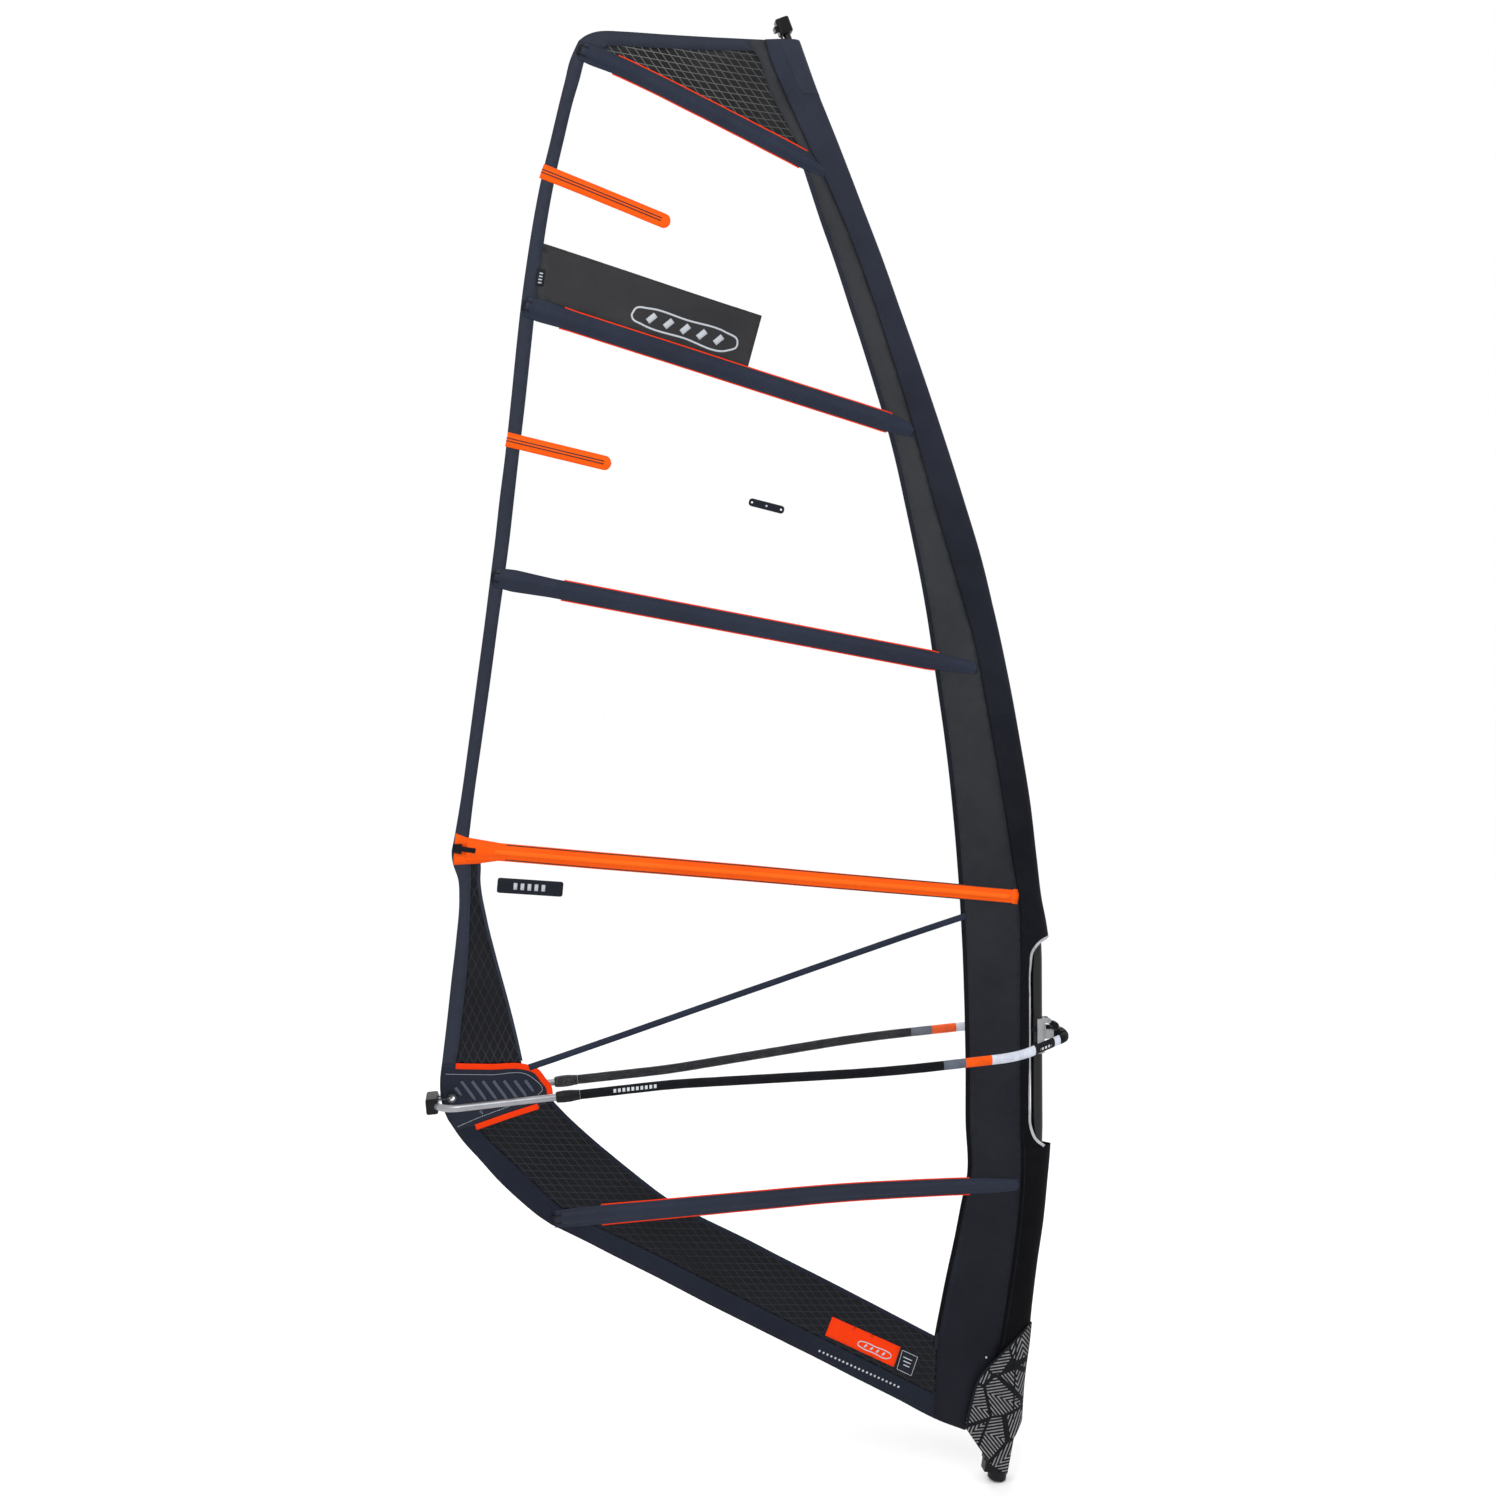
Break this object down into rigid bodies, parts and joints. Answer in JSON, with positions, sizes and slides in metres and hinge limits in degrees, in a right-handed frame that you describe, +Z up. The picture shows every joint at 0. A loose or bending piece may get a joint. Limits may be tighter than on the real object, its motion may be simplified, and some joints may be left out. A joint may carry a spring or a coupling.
{
  "type": "windsurf sail rig",
  "caption": "Windsurf sail rig: a battened clear-film sail sleeved on a bent two-piece mast, held out by a wishbone boom clamped at the mast and laced to the clew.",
  "frame": {"origin": "centre of the mouth of the socket in the mast foot", "axes": "+X forwards from the sail towards the mast, +Z up, +Y across the rig to the side of the far boom arm"},
  "size_m": [1.9985, 0.46, 4.5356],
  "materials": {
    "carbon": "glossy",
    "sleeve_fabric": "woven polyester",
    "luff_film": "laminated cloth",
    "leech_tape": "woven tape",
    "xply": "scrim laminate",
    "film": "clear film",
    "hem_fabric": "woven",
    "patch_fabric": "reinforced",
    "pocket_fabric": "woven",
    "orange_pocket": "glossy ripstop",
    "glass_batten": "pultruded",
    "black_plastic": "moulded",
    "insignia_print": "printed film",
    "tag_print": "printed film",
    "webbing": "webbing",
    "steel": "satin",
    "piping": "silver binding",
    "neoprene": "padded cover",
    "rope": "braided",
    "aluminium": "anodised",
    "grip": "foam grip",
    "grey_plastic": "moulded",
    "sheave_plastic": "acetal"
  },
  "bodies": {
    "rig": {"mast_bottom": "carbon", "mast_top": "carbon", "mast_ferrule": "carbon", "upper_sleeve": "sleeve_fabric", "cutout_sleeve": "sleeve_fabric", "lower_sleeve": "sleeve_fabric", "cutout_piping": "piping", "luff_panel": "luff_film", "leech_tape": "leech_tape", "head_panel": "xply", "window_1": "film", "window_2": "film", "window_3": "film", "window_4": "film", "window_5": "film", "clew_panel": "xply", "clew_patch": "patch_fabric", "foot_panel": "xply", "foot_hem": "hem_fabric", "batten_pocket_1": "pocket_fabric", "batten_pocket_2": "pocket_fabric", "batten_pocket_3": "pocket_fabric", "batten_pocket_4": "orange_pocket", "batten_pocket_5": "pocket_fabric", "battens": "glass_batten", "batten_tensioners": "black_plastic", "mini_batten_pockets": "orange_pocket", "insignia_panel": "insignia_print", "window_tags": "tag_print", "clew_load_strap": "webbing", "clew_grommet": "steel", "extension_base": "black_plastic", "extension_tube": "aluminium", "extension_collar": "black_plastic", "tack_block": "aluminium", "tack_webbing": "webbing", "downhaul_line": "rope", "tack_fairing": "neoprene", "head_cap": "black_plastic", "head_strap": "webbing"},
    "boom_head": {"clamp_body": "grey_plastic", "lever_pin": "steel", "clamp_straps": "webbing"},
    "boom_frame": {"boom_arms": "aluminium", "boom_grip_near": "grip", "boom_grip_far": "grip", "front_hub_collars": "black_plastic", "tail_collar_near": "black_plastic", "tail_collar_far": "black_plastic"},
    "boom_tail": {"tail_tube": "aluminium", "tail_fitting": "black_plastic", "outhaul_line": "rope"},
    "clamp_lever": {"clamp_lever": "black_plastic"},
    "tail_sheave": {"tail_sheave": "sheave_plastic"},
    "tail_clip_near": {"tail_clip_near": "black_plastic"},
    "tail_clip_far": {"tail_clip_far": "black_plastic"},
    "tack_sheave_near": {"tack_sheave_near": "sheave_plastic"},
    "tack_sheave_far": {"tack_sheave_far": "sheave_plastic"},
    "base_sheave": {"base_sheave": "sheave_plastic"},
    "base_release_button": {"base_release_button": "black_plastic"}
  },
  "joints": [
    {"name": "boom_height", "type": "slide", "parent": "rig", "child": "boom_head", "axis": [-0.017, 0, 0.9999], "range_m": [-0.15, 0.05]},
    {"name": "boom_swing", "type": "hinge", "parent": "boom_head", "child": "boom_frame", "pos_m": [0.1912, 0, 1.4305], "axis": [0, 1, 0], "range_deg": [-1.7, 4.7]},
    {"name": "tail_slide", "type": "slide", "parent": "boom_frame", "child": "boom_tail", "axis": [-0.9971, 0, -0.0767], "range_m": [0, 0.14], "deforming": ["outhaul_line"]},
    {"name": "clamp_lever_swing", "type": "hinge", "parent": "boom_head", "child": "clamp_lever", "pos_m": [0.14747, 0, 1.4756], "axis": [0, -1, 0], "range_deg": [0, 100]},
    {"name": "tail_clip_near_swing", "type": "hinge", "parent": "boom_frame", "child": "tail_clip_near", "pos_m": [-1.3642, -0.0677, 1.31082], "axis": [-0.0767, 0, 0.9971], "range_deg": [0, 90]},
    {"name": "tail_clip_far_swing", "type": "hinge", "parent": "boom_frame", "child": "tail_clip_far", "pos_m": [-1.3642, 0.0677, 1.31082], "axis": [0.0767, 0, -0.9971], "range_deg": [0, 90]},
    {"name": "tail_sheave_spin", "type": "hinge", "parent": "boom_tail", "child": "tail_sheave", "pos_m": [-1.77035, 0.027, 1.29712], "axis": [0.0591, 0, 0.9983], "continuous": true},
    {"name": "tack_sheave_near_spin", "type": "hinge", "parent": "rig", "child": "tack_sheave_near", "pos_m": [-0.01945, -0.009, 0.12919], "axis": [0, 1, 0], "continuous": true},
    {"name": "tack_sheave_far_spin", "type": "hinge", "parent": "rig", "child": "tack_sheave_far", "pos_m": [-0.01945, 0.009, 0.12919], "axis": [0, 1, 0], "continuous": true},
    {"name": "base_sheave_spin", "type": "hinge", "parent": "rig", "child": "base_sheave", "pos_m": [-0.01713, 0, 0.06922], "axis": [0.9894, 0, -0.1451], "continuous": true},
    {"name": "release_button_press", "type": "slide", "parent": "rig", "child": "base_release_button", "axis": [0, 1, 0], "range_m": [0, 0.004], "stiffness_N_per_m": 400, "springref_m": -0.001}
  ],
  "couplings": [
    {"joint": "boom_swing", "follows": "boom_height", "rad_per_m": -0.52573}
  ]
}
